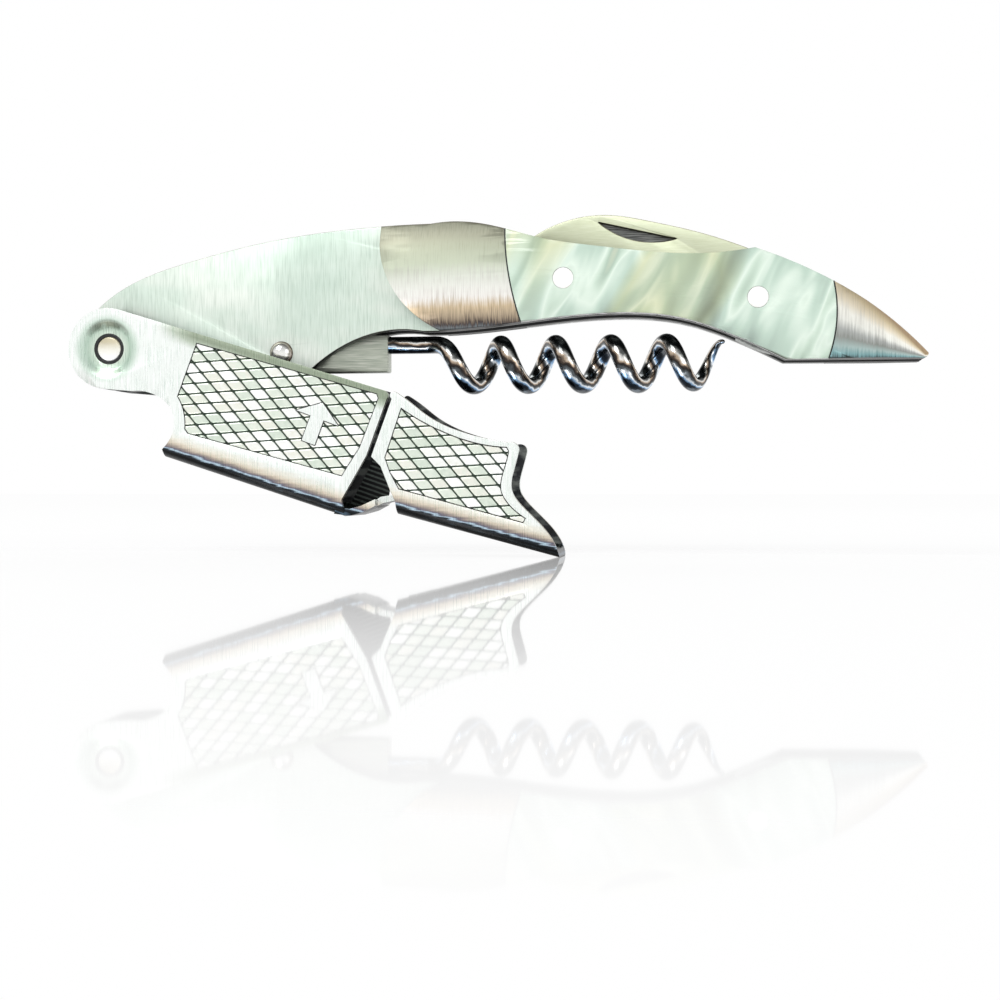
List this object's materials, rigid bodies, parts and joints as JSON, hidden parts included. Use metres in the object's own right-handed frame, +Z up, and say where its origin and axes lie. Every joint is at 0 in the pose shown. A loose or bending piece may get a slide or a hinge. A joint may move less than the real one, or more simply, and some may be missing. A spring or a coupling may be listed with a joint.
{
  "type": "lever corkscrew",
  "caption": "Folding waiter's corkscrew with a two-step hinged lever, a coiled worm, a foil blade and pearl-faced grips.",
  "frame": {"origin": "middle of the object's box in X and Y, at the lowest point of the second lever", "axes": "+X from the hub to the tail tip along the handle, +Y across the handle to its back side, +Z up, away from the worm"},
  "size_m": [0.127, 0.012, 0.0505],
  "materials": {
    "liner_steel": "fine vertical brushing",
    "bolster_steel": "satin, grain across the handle",
    "pearl": "polished swirled pearl",
    "spring_steel": "plain ground",
    "pin_steel": "polished",
    "black_bush": "moulded",
    "lever_steel": "satin with blackened diamond engraving",
    "worm_steel": "bright polished",
    "blade_steel": "fine ground"
  },
  "bodies": {
    "handle": {"liner_front": "liner_steel", "liner_back": "liner_steel", "head_bolster_front": "bolster_steel", "head_bolster_back": "bolster_steel", "pearl_scale_front": "pearl", "pearl_scale_back": "pearl", "tail_bolster_front": "bolster_steel", "tail_bolster_back": "bolster_steel", "worm_spring": "spring_steel", "blade_spring": "spring_steel", "hub_spacer": "spring_steel", "scale_pin": "pin_steel", "blade_pivot_pin": "pin_steel", "worm_pivot_pin": "pin_steel", "lever_pivot_pin": "pin_steel", "bolster_pins": "pin_steel"},
    "lever_first": {"first_lever": "lever_steel", "lever_bush_front": "black_bush", "lever_bush_back": "black_bush"},
    "lever_second": {"second_lever": "lever_steel", "lever_hinge_pin": "pin_steel"},
    "worm_arm": {"worm": "worm_steel"},
    "blade_arm": {"foil_blade": "blade_steel"}
  },
  "joints": [
    {"name": "lever_swing", "type": "hinge", "parent": "handle", "child": "lever_first", "pos_m": [-0.0574, 0, 0.0312], "axis": [0, 1, 0], "range_deg": [0, 140]},
    {"name": "step_fold", "type": "hinge", "parent": "lever_first", "child": "lever_second", "pos_m": [-0.0118, 0, 0.0099], "axis": [0, 1, 0], "range_deg": [0, 90]},
    {"name": "worm_swing", "type": "hinge", "parent": "handle", "child": "worm_arm", "pos_m": [-0.0311, 0, 0.0304], "axis": [0, 1, 0], "range_deg": [0, 90]},
    {"name": "blade_swing", "type": "hinge", "parent": "handle", "child": "blade_arm", "pos_m": [0.0395, 0, 0.0375], "axis": [0, 1, 0], "range_deg": [0, 145]}
  ],
  "couplings": [
    {"joint": "worm_swing", "follows": "lever_swing", "ratio": 0.6428}
  ]
}
